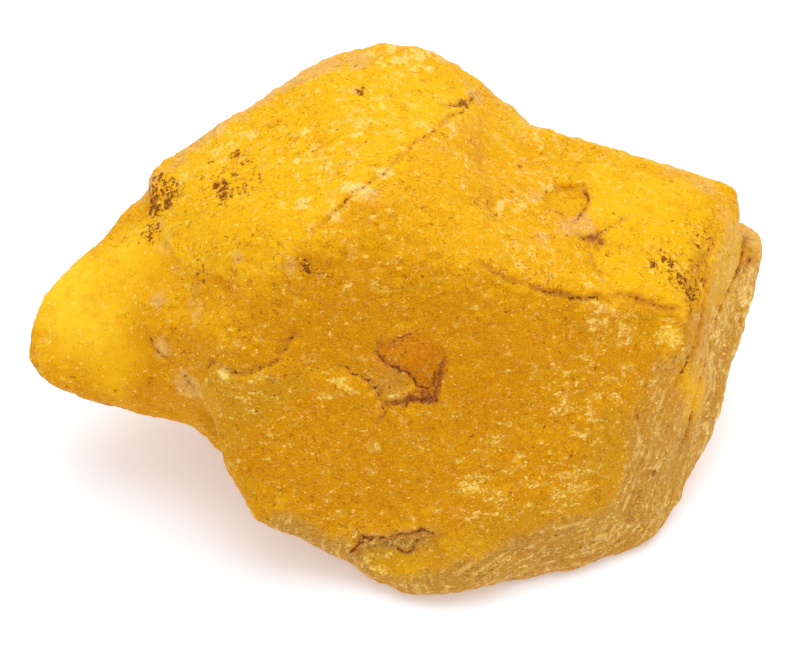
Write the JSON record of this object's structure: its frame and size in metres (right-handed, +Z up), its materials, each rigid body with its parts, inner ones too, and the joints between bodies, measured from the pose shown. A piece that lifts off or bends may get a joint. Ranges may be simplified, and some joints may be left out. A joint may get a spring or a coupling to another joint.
{
  "type": "rough yellow sapphire",
  "caption": "Weathered piece of rough yellow sapphire with a flat-topped middle, a steep broad face, a thin tongue at one end and thin growth layers at the other.",
  "frame": {"origin": "on the table, under the middle of the stone", "axes": "+X along the stone's length, from the thin tongue to the layered end; -Y towards the steep broad face; +Z up from the flat foot"},
  "size_m": [0.065, 0.0422, 0.0312],
  "materials": {
    "sapphire": "satin"
  },
  "bodies": {
    "root": {"rough_sapphire": "sapphire"}
  },
  "joints": []
}
